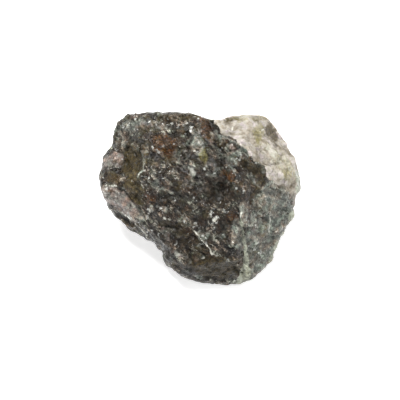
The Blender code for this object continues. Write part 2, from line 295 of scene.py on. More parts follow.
STREAKS = (
    # The grey-green vein that runs down beside the right facet.
    Streak(Mineral.VEIN, ((10.0, -5.2), (10.6, -8.6), (11.2, -12.0), (11.5, -16.0)), (0.35, 0.35), 0.90),
    Streak(Mineral.VEIN, ((11.5, -14.0), (11.4, -18.0), (11.0, -21.2)), (0.3, 1.9), 1.25),
    # The pale band down the right edge, and the lines in the right facet.
    Streak(Mineral.VEIN, ((24.2, 6.0), (24.4, 1.0), (24.0, -1.6)), (0.7, 0.4), 1.0),
    Streak(Mineral.VEIN, ((23.4, -2.6), (22.0, -7.0), (19.4, -11.6), (17.6, -15.4)), (0.7, 0.5), 0.65),
    Streak(Mineral.SCRATCH_AND_HIGHLIGHT, ((17.4, -3.4), (17.2, -8.4)), (0.05, 0.05), 0.9),
    Streak(Mineral.SCRATCH_AND_HIGHLIGHT, ((16.0, 0.6), (16.6, -1.6)), (0.0, 0.0), 0.8),
    Streak(Mineral.SMOKE, ((14.9, -5.6), (14.6, -12.4)), (0.35, 0.25), 0.5),
    Streak(Mineral.SMOKE, ((18.6, -5.0), (18.0, -12.0)), (0.25, 0.35), 0.5),
    # Bright lines: the curved scratch low on the face, and painted highlights along the crescent beside the
    # dish, the ridge beside the vein and the broken rims, with two painted glints.
    # The crescent's painted highlight, laid in schist colour.
    Streak(Mineral.SCHIST, ((-14.2, 10.6), (-13.4, 8.4), (-13.9, 6.4), (-14.9, 5.2)), (0.35, 0.15), 0.9),
    Streak(Mineral.SCRATCH_AND_HIGHLIGHT, ((-1.3, -8.0), (0.2, -9.8), (1.8, -11.6), (3.4, -13.8)), (0.0, 0.05), 1.3),
    Streak(Mineral.SCRATCH_AND_HIGHLIGHT, ((2.2, -12.0), (3.0, -13.9)), (0.0, 0.10), 0.8),
    Streak(Mineral.SCRATCH_AND_HIGHLIGHT, ((10.2, -3.2), (9.9, -4.6)), (0.10, 0.25), 0.85),
    Streak(Mineral.SCRATCH_AND_HIGHLIGHT, ((10.0, -4.8), (10.4, -8.4)), (0.0, 0.0), 0.45),
    Streak(Mineral.SCRATCH_AND_HIGHLIGHT, ((-14.2, 9.8), (-13.7, 8.6)), (0.05, 0.0), 0.75),
    Streak(Mineral.SCRATCH_AND_HIGHLIGHT, ((-13.9, 6.2), (-14.7, 5.4)), (0.05, 0.10), 0.8),
    Streak(Mineral.SCRATCH_AND_HIGHLIGHT, ((-23.0, 7.2), (-18.8, 7.6)), (0.0, 0.0), 0.7),
    Streak(Mineral.SCRATCH_AND_HIGHLIGHT, ((-22.0, 3.0), (-20.6, 3.0)), (0.15, 0.15), 0.8),
    Streak(Mineral.SCRATCH_AND_HIGHLIGHT, ((-17.2, -4.9), (-15.0, -7.0), (-12.8, -8.9)), (0.0, 0.1), 0.7),
    Streak(Mineral.SCRATCH_AND_HIGHLIGHT, ((-8.7, -4.8), (-8.3, -5.0)), (0.15, 0.10), 1.1),
    Streak(Mineral.SCRATCH_AND_HIGHLIGHT, ((-7.5, -5.1), (-7.1, -5.4)), (0.15, 0.10), 1.1),
    Streak(Mineral.SCRATCH_AND_HIGHLIGHT, ((-18.4, 17.2), (-17.4, 18.6)), (0.0, 0.05), 0.8),
    Streak(Mineral.SCRATCH_AND_HIGHLIGHT, ((2.4, -6.0), (4.0, -8.6)), (0.0, 0.0), 0.6),
    Streak(Mineral.SCRATCH_AND_HIGHLIGHT, ((-4.8, -18.6), (0.0, -20.2), (5.6, -20.6), (9.8, -20.8)), (0.0, 0.0), 0.5),
    # A painted highlight along the left lobe's broken edge, laid as glint.
    Streak(Mineral.GLINT, ((-18.9, -3.4), (-17.4, -4.8), (-12.8, -9.0)), (0.5, 0.5), 0.8),
    # Folded wisps between the cleft and the quartz, and the dark seam that bounds them.
    Streak(Mineral.SCHIST, ((2.6, 15.8), (5.9, 15.4), (8.4, 13.8), (11.1, 12.4)), (0.15, 0.35), 0.9),
    Streak(Mineral.SCHIST, ((6.1, 12.8), (7.6, 11.0), (10.6, 9.8)), (0.20, 0.20), 0.9),
    Streak(Mineral.SCHIST, ((2.6, 13.2), (4.3, 12.2), (6.8, 8.6), (8.6, 6.4)), (0.20, 0.20), 0.9),
    Streak(Mineral.SCHIST, ((9.4, 12.6), (11.4, 10.6), (12.4, 9.4)), (0.10, 0.15), 0.8),
    Streak(Mineral.SCHIST, ((8.6, 13.9), (11.0, 12.0), (13.4, 9.6), (15.6, 6.6)), (0.2, 0.6), 0.70),
    Streak(Mineral.SMOKE, ((6.8, 13.8), (9.6, 13.0), (10.4, 11.6)), (0.05, 0.05), 0.8),
    Streak(Mineral.SMOKE, ((1.4, 14.4), (3.4, 12.2)), (0.20, 0.60), 0.9),
)

CUTS = (
    # The dish on the left and the crescent rim beside it.
    Cut(((-13.4, 12.2), (-13.2, 9.6), (-13.4, 6.6), (-14.8, 4.6)), 0.7, -0.40),
    Cut(((-15.7, 12.0), (-14.8, 9.4), (-15.2, 6.4)), 0.9, 0.50),
    Cut(((-19.4, 11.4), (-18.6, 9.0), (-19.2, 6.4), (-21.6, 5.2)), 0.5, 0.15),
    # The edge that the left lobe breaks off along.
    Cut(((-21.6, 2.6), (-18.9, 2.0), (-16.4, -1.2), (-13.6, -4.4)), 0.5, 0.40),
    Cut(((-20.8, -3.4), (-18.2, -5.4), (-13.8, -8.9)), 0.6, 0.50),
    # Folded layers between the cleft and the quartz.
    Cut(((3.4, 17.8), (6.8, 14.8), (11.0, 11.8), (13.4, 8.6)), 0.45, 0.25),
    Cut(((2.8, 15.2), (6.0, 13.4), (9.6, 10.4), (12.8, 6.8)), 0.40, 0.20),
    Cut(((5.4, 11.6), (8.6, 10.0), (11.4, 7.2), (13.4, 3.6)), 0.40, 0.20),
    Cut(((6.8, 8.6), (9.2, 7.2), (11.2, 4.4)), 0.40, 0.25),
    Cut(
        ((6.6, 12.9), (7.4, 13.7), (9.0, 13.3), (9.5, 12.3), (8.6, 11.6), (7.0, 11.9), (6.6, 12.9)),
        0.35,
        0.40,
    ),
    # The steps round the middle hollow and down to the bright ridge beside the vein.
    Cut(((-1.6, 5.8), (0.6, 5.2), (3.2, 5.6), (5.4, 6.4)), 0.5, -0.35),
    Cut(((0.2, -1.4), (2.6, -2.2), (5.2, -1.8), (7.0, 0.4)), 0.6, -0.40),
    Cut(((9.8, -1.8), (10.2, -4.0), (10.4, -6.4)), 0.5, -0.45),
    Cut(((8.4, -3.0), (8.2, -6.0)), 0.7, 0.30),
    # The curved scratch low on the face, and the chips round it and above it.
    Cut(((-1.3, -8.0), (0.2, -9.8), (1.8, -11.6), (3.4, -13.8)), 0.30, -0.10),
    Cut(((-2.0, -8.8), (-0.4, -10.4), (1.0, -12.4)), 0.6, 0.35),
    Cut(((-8.6, -6.6), (-6.0, -7.6), (-3.8, -7.0)), 0.5, 0.35),
    Cut(((-9.8, -0.4), (-7.0, 0.6), (-4.4, 0.2)), 0.5, 0.35),
    Cut(((-12.4, 13.6), (-9.0, 12.0), (-6.4, 12.6)), 0.5, 0.35),
    Cut(((-3.4, 17.6), (-2.0, 14.6), (-3.0, 11.0)), 0.5, 0.40),
    # The layered lip along the bottom.
    Cut(((-4.8, -18.2), (0.0, -19.6), (5.6, -20.0), (9.8, -20.2)), 0.45, 0.28),
)

# Where the outline stands a little further out than the solid's, or further in.
RIMS = (
    Cut(((-21.8, 16.2), (-21.0, 18.0), (-19.4, 19.8)), 1.6, -0.55),
    Cut(((-18.4, 21.0), (-16.0, 21.6)), 1.0, 0.20),
    Cut(((-16.0, 21.7), (-11.0, 21.8)), 1.2, 0.42),
    Cut(((-8.0, 21.5), (-2.8, 21.2)), 1.0, 0.22),
    Cut(((0.4, 20.6), (6.2, 19.4)), 1.2, -0.10),
    Cut(((18.0, 19.0), (20.4, 15.8), (22.0, 12.6)), 1.8, -0.55),
    Cut(((24.6, 5.8), (24.9, 3.0), (25.2, 0.4), (24.5, -2.6)), 1.7, -0.68),
    Cut(((24.0, -2.8), (22.8, -5.6)), 1.4, -0.30),
    Cut(((21.9, -7.2), (20.6, -9.8)), 1.4, -0.45),
    Cut(((11.8, -21.2), (15.6, -18.4)), 1.2, 0.30),
    Cut(((18.4, -14.2), (15.8, -17.8)), 1.2, -0.30),
    Cut(((3.6, -21.6), (10.8, -21.2)), 1.4, -0.35),
    Cut(((-13.8, -9.4), (-11.4, -10.8), (-9.8, -13.4)), 1.5, -0.60),
    Cut(((-9.6, -14.0), (-7.8, -17.2), (-4.4, -19.8)), 1.6, -0.60),
    Cut(((-24.8, 4.0), (-23.2, -2.6), (-18.8, -7.2), (-13.4, -9.8)), 1.7, -0.25),
    Cut(((-23.8, 10.4), (-22.4, 13.4)), 1.0, 0.20),
)

# The small patches all round the lump, between the drawn marks and behind them.
SCATTERS = (
    Scatter(Mineral.RUST, 3.4, 0.40, 0.50, (3.7, 1.1, 8.2)),
    Scatter(Mineral.LIMONITE, 6.5, 0.25, 0.70, (8.1, 4.7, 2.9)),
    Scatter(Mineral.SCHIST, 4.2, 0.38, 0.55, (9.4, 5.3, 0.6)),
    Scatter(Mineral.FELSPAR, 3.1, 0.52, 0.70, (1.2, 7.9, 4.4)),
    Scatter(Mineral.SMOKE, 6.0, 0.30, 0.50, (6.6, 2.8, 3.3)),
    Scatter(Mineral.GLINT, 2.4, 0.35, 0.50, (2.1, 9.9, 5.8)),
)

# The line where the dark rock laps over the quartz, down to the right edge; how wide the change is at
# its start and its end; and the share of the line's points where it begins to widen.
QUARTZ_LINE: tuple[Point, ...] = (
    (2.6, 24.0), (3.7, 18.8), (5.8, 16.2), (8.2, 14.4), (11.9, 11.6), (13.9, 9.4), (16.0, 7.2), (16.5, 5.0),
    (17.8, 3.6), (20.4, 2.8), (22.4, 1.6), (23.4, -1.4), (25.4, -3.0),
)
QUARTZ_BLUR: Point = (0.4, 2.2)
QUARTZ_WIDENS_FROM = 0.6

# The line that the pale schist lies right of, and how wide that change is.
SCHIST_LINE: tuple[Point, ...] = (
    (10.6, -26.0), (11.6, -16.0), (11.4, -8.0), (13.0, -2.6), (15.6, 3.4), (20.0, 4.6), (30.0, 5.0),
)
SCHIST_BLUR = 1.6


def smoothstep(share: np.ndarray) -> np.ndarray:
    """Eases each value from 0 to 1."""
    share = np.clip(share, 0.0, 1.0)
    return share * share * (3.0 - 2.0 * share)


def from_line(spots: np.ndarray, line: tuple[Point, ...]) -> tuple[np.ndarray, np.ndarray, np.ndarray]:
    """Measures how far spots on the broad face are from a line.

    Args:
        spots: An array of (right, up) rows in millimetres.
        line: The line's points.

    Returns:
        The distances, the side (1 to the left of the line's run, -1 to its right) and the share of the
        line's points passed, from 0 to 1.
    """
    best = np.full(len(spots), np.inf)
    side = np.ones(len(spots))
    passed = np.zeros(len(spots))
    for index, (start, end) in enumerate(zip(line, line[1:])):
        run = np.subtract(end, start)
        away = spots - np.array(start)
        share = np.clip(away @ run / (run @ run), 0.0, 1.0)
        distance = np.linalg.norm(away - share[:, None] * run, axis=1)
        nearer = distance < best
        best[nearer] = distance[nearer]
        side[nearer] = np.sign(run[0] * away[nearer, 1] - run[1] * away[nearer, 0])
        passed[nearer] = (index + share[nearer]) / (len(line) - 1)
    return best, side, passed


def sampled(points: np.ndarray, measure: Callable[[Vector], float]) -> np.ndarray:
    """Reads a measure at each point.

    Args:
        points: An array of (right, up, out) rows in millimetres.
        measure: A function from a place to a number.

    Returns:
        One number for each point.
    """
    return np.array([measure(Vector(point)) for point in points])


def cell_tilt(place: Vector, size: float) -> float:
    """The height at a place of a surface of flat cells, each tilted its own way.

    Args:
        place: The place in millimetres.
        size: The cells' rough size in millimetres.

    Returns:
        A height as a share of the cell's size, about -0.5 to 0.5.
    """
    scaled = place / size
    middle = noise.voronoi(scaled)[1][0]
    tilt = noise.cell_vector(middle * TILT_SPREAD) - Vector((0.5, 0.5, 0.5))
    return tilt.dot(scaled - middle)


@dataclass
class BrokenSurface:
    """The lump's visible skin: a finer copy of the solid with the grain of the broken rock cut into it.

    Lengths are in millimetres. A size says how far apart a noise's lumps are. Each wander is a size and
    how far outlines stray, and each edge is where a mark starts to end and over how much it fades.
    """

    seed: int = 5
    merge: float = 0.01
    cell: float = 0.27
    softening_passes: int = 8
    swell: float = 0.18
    flake_size: float = 3.0
    flake_rise: float = 0.62
    chip_size: float = 1.35
    chip_rise: float = 0.26
    grit_size: float = 0.8
    grit_rise: float = 0.07
    layer_pitch: float = 1.35
    layer_rise: float = 0.20
    layer_climb: float = 0.8
    layer_bend: Point = (3.0, 0.9)
    layers_face: tuple[float, float, float] = (0.70, 0.66, 0.28)
    patchy_size: float = 5.0
    patchy_least: float = 0.55
    patchy_spread: float = 0.6
    crack_size: float = 3.4
    crack_depth: float = 0.35
    crack_steepness: float = 2.2
    crack_start: float = 0.80
    crack_fray: Point = (0.7, 0.25)
    quartz_smoothness: float = 0.75
    quartz_flatness: float = 0.5
    felspar_smoothness: float = 0.9
    mark_wanders: tuple[Point, Point] = ((2.6, 1.0), (0.8, 0.45))
    streak_wander: Point = (0.9, 0.25)
    cut_wander: Point = (1.6, 0.5)
    patch_edge: Point = (1.25, 0.6)
    streak_edge: Point = (0.25, 0.35)
    cut_edge: float = 1.3
    cut_taper: Point = (0.2, 0.3)
    scatter_edge: float = 0.18
    scatter_fractal: tuple[float, float, int] = (0.7, 2.1, 3)
    shown_edge: Point = (-0.1, 0.3)
    schist_strength: float = 0.85
    rest_fade: float = 0.8
    wear_passes: int = 1
    rim_wear: float = 0.4
    rim_width: float = 0.5
    sharp_angle: float = math.radians(32.0)
    cavity_reach: int = 10
    cavity_contrast: float = 2.2
    points: np.ndarray = field(default_factory=lambda: np.zeros((0, 3)))
    masks: dict[Mineral, np.ndarray] = field(default_factory=dict)

    def build(self) -> bpy.types.Object:
        """Makes the skin.

        Returns:
            The finished mesh object, at the origin.
        """
        noise.seed_set(self.seed)
        stone = self.copy_of_solid()
        self.refine(stone)
        self.points = FACE.from_room(self.places(stone))
        self.find_minerals(stone)
        self.cut_grain(stone)
        self.write_attributes(stone)
        bpy.ops.object.shade_smooth_by_angle(angle=self.sharp_angle)
        return stone

    def copy_of_solid(self) -> bpy.types.Object:
        """Copies the solid's mesh into a new, merged object that alone is selected.

        Returns:
            The object, which is the skin to be.
        """
        bpy.ops.object.select_all(action="DESELECT")
        stone = bpy.data.objects.new("iolite_rough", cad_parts[NODE].data.copy())
        bpy.context.scene.collection.objects.link(stone)
        stone.data.materials.clear()
        bpy.context.view_layer.objects.active = stone
        stone.select_set(True)
        bpy.ops.object.mode_set(mode="EDIT")
        bpy.ops.mesh.select_all(action="SELECT")
        bpy.ops.mesh.remove_doubles(threshold=self.merge * MM)
        bpy.ops.object.mode_set(mode="OBJECT")
        return stone

    def refine(self, stone: bpy.types.Object) -> None:
        """Gives the copy an even skin of small cells and takes the solid's facets out of it.

        Args:
            stone: The skin.
        """
        remesh = stone.modifiers.new("even skin", "REMESH")
        remesh.mode = "VOXEL"
        remesh.voxel_size = self.cell * MM
        bpy.ops.object.modifier_apply(modifier=remesh.name)
        soften = stone.modifiers.new("no facets", "SMOOTH")
        soften.factor = 0.5
        soften.iterations = self.softening_passes
        bpy.ops.object.modifier_apply(modifier=soften.name)

    @staticmethod
    def places(stone: bpy.types.Object) -> np.ndarray:
        """The mesh's points as an array of (x, y, z) rows in metres.

        Args:
            stone: The skin.

        Returns:
            One row for each point.
        """
        flat = np.zeros(len(stone.data.vertices) * 3)
        stone.data.vertices.foreach_get("co", flat)
        return flat.reshape(-1, 3)

    @staticmethod
    def normals(stone: bpy.types.Object) -> np.ndarray:
        """The mesh's point normals as an array of rows.

        Args:
            stone: The skin.

        Returns:
            One row for each point.
        """
        flat = np.zeros(len(stone.data.vertices) * 3)
        stone.data.vertex_normals.foreach_get("vector", flat)
        return flat.reshape(-1, 3)

    def wandering(self, size: float, reach: float) -> np.ndarray:
        """The points' spots on the broad face, moved about so that outlines drawn on them are ragged.

        Args:
            size: How far apart the moves change, in millimetres.
            reach: How far they go.

        Returns:
            An array of (right, up) rows.
        """
        moves = np.array([noise.noise_vector(Vector(point) / size)[:2] for point in self.points])
        return self.points[:, :2] + moves * reach

    def lean(self, stone: bpy.types.Object) -> np.ndarray:
        """How far the skin faces the way the broad face does: 1 is straight out of it and -1 the back."""
        return self.normals(stone) @ np.array(FACE.axes)[2]

    def shown(self, lean: np.ndarray) -> np.ndarray:
        """How much of a mark on the broad face reaches skin that leans so: all, or none at the back."""
        return smoothstep((lean - self.shown_edge[0]) / self.shown_edge[1])

    def find_minerals(self, stone: bpy.types.Object) -> None:
        """Works out how much of each mineral there is at each point.

        Args:
            stone: The skin.
        """
        broad, small = self.mark_wanders
        spots = self.wandering(*broad) + self.wandering(*small) - self.points[:, :2]
        shown = self.shown(self.lean(stone))
        self.masks = {mineral: np.zeros(len(spots)) for mineral in Mineral}
        self.lay_patches(spots, shown)
        self.lay_streaks(self.wandering(*self.streak_wander), shown)
        distance, side, passed = from_line(spots, QUARTZ_LINE)
        widening = smoothstep((passed - QUARTZ_WIDENS_FROM) / (1.0 - QUARTZ_WIDENS_FROM))
        blur = QUARTZ_BLUR[0] + widening * (QUARTZ_BLUR[1] - QUARTZ_BLUR[0])
        self.add(Mineral.QUARTZ, smoothstep(0.5 + side * distance / blur))
        distance, side, _ = from_line(spots, SCHIST_LINE)
        self.add(Mineral.SCHIST, self.schist_strength * smoothstep(0.5 - side * distance / SCHIST_BLUR))
        self.scatter()

    def add(self, mineral: Mineral, amount: np.ndarray) -> None:
        """Adds a mineral where there is more of it than before."""
        self.masks[mineral] = np.maximum(self.masks[mineral], amount)

    def lay_patches(self, spots: np.ndarray, shown: np.ndarray) -> None:
        """Adds the oval marks.

        Args:
            spots: The points' spots on the broad face, as (right, up) rows.
            shown: How much of a mark reaches each point.
        """
        start, fade = self.patch_edge
        for patch in PATCHES:
            turn = math.radians(patch.turn)
            away = spots - np.array(patch.middle)
            along = (away[:, 0] * math.cos(turn) + away[:, 1] * math.sin(turn)) / patch.half[0]
            across = (away[:, 1] * math.cos(turn) - away[:, 0] * math.sin(turn)) / patch.half[1]
            inside = smoothstep((start - np.hypot(along, across)) / fade)
            self.add(patch.mineral, patch.strength * shown * inside)

    def lay_streaks(self, spots: np.ndarray, shown: np.ndarray) -> None:
        """Adds the lines of mineral.

        Args:
            spots: The points' spots on the broad face, as (right, up) rows.
            shown: How much of a mark reaches each point.
        """
        start, fade = self.streak_edge
        for streak in STREAKS:
            distance, _, passed = from_line(spots, streak.line)
            width = streak.half_widths[0] + passed * (streak.half_widths[1] - streak.half_widths[0])
            inside = smoothstep((width + start - distance) / fade)
            self.add(streak.mineral, streak.strength * shown * inside)

    def scatter(self) -> None:
        """Adds the small natural patches that lie all round the lump."""
        for kind in SCATTERS:
            size, shift = kind.size, Vector(kind.shift)
            level = sampled(
                self.points, lambda place: noise.fractal(place / size + shift, *self.scatter_fractal)
            )
            self.add(kind.mineral, kind.strength * smoothstep((level - kind.start) / self.scatter_edge))

    def layer_height(self, place: Vector) -> float:
        """The height of worn ledges that climb slowly and drop off quickly across the rock's layers.

        Args:
            place: The place in millimetres.

        Returns:
            A height from -0.5 to 0.5.
        """
        size, reach = self.layer_bend
        bend = reach * noise.noise(place / size)
        climb = (place.dot(Vector(self.layers_face).normalized()) / self.layer_pitch + bend) % 1.0
        if climb < self.layer_climb:
            return climb / self.layer_climb - 0.5
        return (1.0 - climb) / (1.0 - self.layer_climb) - 0.5

    def crack_share(self, place: Vector) -> float:
        """How deep a crack is at a place.

        Args:
            place: The place in millimetres.

        Returns:
            0 outside the cracks and 1 along the middle of one.
        """
        size, reach = self.crack_fray
        line = 1.0 - self.crack_steepness * abs(noise.noise(place / self.crack_size))
        line -= reach * abs(noise.noise(place / size))
        return max(0.0, (line - self.crack_start) / (1.0 - self.crack_start)) ** 2

    def grain(self) -> np.ndarray:
        """How far the flakes, chips, grit and layers stand out at each point, less the cracks.

        Returns:
            Heights in millimetres.
        """
        quartz = self.masks[Mineral.QUARTZ]
        felspar = self.masks[Mineral.FELSPAR]
        smooth = np.maximum(self.quartz_smoothness * quartz, self.felspar_smoothness * felspar)
        flakes = sampled(self.points, lambda place: cell_tilt(place, self.flake_size))
        chips = sampled(self.points, lambda place: cell_tilt(place, self.chip_size))
        grit = sampled(self.points, lambda place: noise.noise(place / self.grit_size))
        patchy = sampled(self.points, lambda place: noise.noise(place / self.patchy_size))
        patchy = self.patchy_least + self.patchy_spread * patchy
        rise = self.flake_rise * flakes * (1.0 - self.quartz_flatness * quartz)
        rise += self.chip_rise * chips * (1.0 - smooth)
        rise += self.grit_rise * grit
        rise += self.layer_rise * patchy * sampled(self.points, self.layer_height) * (1.0 - smooth)
        rise -= self.crack_depth * sampled(self.points, self.crack_share)
        return rise

    def cut_grain(self, stone: bpy.types.Object) -> None:
        """Moves the points in and out for the grain of the rock and the named cuts and rims.

        Args:
            stone: The skin.
        """
        places = self.places(stone)
        lean = self.lean(stone)
        shown = self.shown(lean)
        rise = self.grain() * (1.0 - self.rim_wear * smoothstep(1.0 - np.abs(lean) / self.rim_width))
        spots = self.wandering(*self.cut_wander)
        length, least = self.cut_taper
        for cut in CUTS + RIMS:
            distance, _, passed = from_line(spots, cut.line)
            taper = smoothstep(np.minimum(passed, 1.0 - passed) / length + least)
            reach = 1.0 if cut in RIMS else shown
            rise -= cut.depth * reach * taper * smoothstep(self.cut_edge - distance / cut.half_width)
        rise = (rise + self.swell) * smoothstep(places[:, 2] / MM / self.rest_fade)
        places += self.normals(stone) * rise[:, None] * MM
        places[:, 2] = np.maximum(places[:, 2], 0.0)
        stone.data.vertices.foreach_set("co", places.ravel())
        wear = stone.modifiers.new("worn", "SMOOTH")
        wear.factor = 0.5
        wear.iterations = self.wear_passes
        bpy.ops.object.modifier_apply(modifier=wear.name)

    def cavity(self, stone: bpy.types.Object) -> np.ndarray:
        """How far each point lies below its surroundings.

        Args:
            stone: The skin.

        Returns:
            Heights in millimetres, positive in a hollow and negative on an edge.
        """
        edges = np.zeros(len(stone.data.edges) * 2, dtype=np.int64)
        stone.data.edges.foreach_get("vertices", edges)
        first, second = edges.reshape(-1, 2).T
        places = self.places(stone)
        count = np.bincount(first, minlength=len(places)) + np.bincount(second, minlength=len(places))
        around = places.copy()
        for _ in range(self.cavity_reach):
            total = np.zeros_like(around)
            np.add.at(total, first, around[second])
            np.add.at(total, second, around[first])
            around = total / count[:, None]
        return np.einsum("ij,ij->i", around - places, self.normals(stone)) / MM

    def write_attributes(self, stone: bpy.types.Object) -> None:
        """Stores each mineral's amount and the hollows on the mesh, for the material to read.

        Args:
            stone: The skin.
        """
        layers = {mineral.value: amount for mineral, amount in self.masks.items()}
        # The hollows drive the material's painted shade in hollows and painted highlights on edges.
        layers["hollow"] = np.clip(0.5 + self.cavity_contrast * self.cavity(stone), 0.0, 1.0)
        for name, amount in layers.items():
            attribute = stone.data.attributes.new(name, "FLOAT", "POINT")
            attribute.data.foreach_set("value", amount.astype(np.float32))


def linear(code: str) -> tuple[float, float, float, float]:
    """Turns an sRGB hex colour into linear light.

    Args:
        code: Six hex digits after a hash sign.

    Returns:
        Red, green, blue and an alpha of 1.
    """
    parts = [int(code[i : i + 2], 16) / 255 for i in (1, 3, 5)]
    red, green, blue = (p / 12.92 if p <= 0.04045 else ((p + 0.055) / 1.055) ** 2.4 for p in parts)
    return red, green, blue, 1.0


def spread(tones: tuple[str, ...], low: float = 0.36, high: float = 0.62) -> tuple[tuple[float, str], ...]:
    """Spaces tones evenly between two levels of a pattern.

    Args:
        tones: The colours as hex codes.
        low: The level of the first.
        high: The level of the last.

    Returns:
        The stops of a colour ramp.
    """
    return tuple((low + (high - low) * i / (len(tones) - 1), tone) for i, tone in enumerate(tones))


# A Mix node of colours takes them on inputs 6 and 7 and gives its result on output 2.
UNDER, OVER, MIXED = 6, 7, 2


def add_node(
    tree: bpy.types.NodeTree,
    kind: str,
    inputs: dict[str | int, object] | None = None,
    output: str | int = 0,
    stops: tuple[tuple[float, str], ...] = (),
    **settings: object,
) -> bpy.types.NodeSocket:
    """Adds a node with its settings and links.

    Args:
        tree: The node tree.
        kind: The node's type name after "ShaderNode".
        inputs: A value or an output socket for each input, by name or number.
        output: The output that is handed back, by name or number.
        stops: The places and colours of a colour ramp.
        **settings: Properties of the node itself.

    Returns:
        The output; its node is the new one.
    """
    node = tree.nodes.new(f"ShaderNode{kind}")
    for name, value in settings.items():
        setattr(node, name, value)
    for socket, value in (inputs or {}).items():
        if isinstance(value, bpy.types.NodeSocket):
            tree.links.new(value, node.inputs[socket])
        else:
            node.inputs[socket].default_value = value
    for index, (position, tone) in enumerate(stops):
        ramp = node.color_ramp.elements
        stop = ramp[index] if index < len(ramp) else ramp.new(position)
        stop.position = position
        stop.color = linear(tone)
    return node.outputs[output]


class Pattern(Enum):
    """A cloudy pattern: its lumps' size in mm, its octaves, its roughness, and if layers draw it out."""

    CLOUD = (3.2, 4.0, 0.55, False)
    WHERE = (3.6, 2.0, 0.55, False)
    COARSE = (2.0, 5.0, 0.55, False)
    RAGGED = (0.9, 4.0, 0.70, False)
    FLECKS = (0.85, 4.0, 0.75, False)
    SUGAR = (0.7, 4.0, 0.55, False)
    PEPPER = (0.45, 3.0, 0.70, False)
    FINE = (0.42, 3.0, 0.65, False)
    SPECKLE = (0.30, 2.0, 0.80, False)
    FROST = (0.22, 2.0, 0.55, False)
    TINT = (2.2, 4.0, 0.65, False)
    VEIL = (1.3, 7.0, 0.76, True)
    DARK = (0.8, 3.0, 0.55, True)
    WISP = (0.6, 4.0, 0.60, True)


@dataclass(frozen=True)
class MineralLook:
    """How one mineral covers what lies under it.

    Its tones follow a pattern. It starts where there is so much of it, and is at its most where there
    is more; ragged says how far the grain breaks up its edge.
    """

    mineral: Mineral
    tones: tuple[str, ...]
    start: float
    full: float
    most: float = 1.0
    ragged: float = 1.0
    pattern: Pattern = Pattern.SUGAR


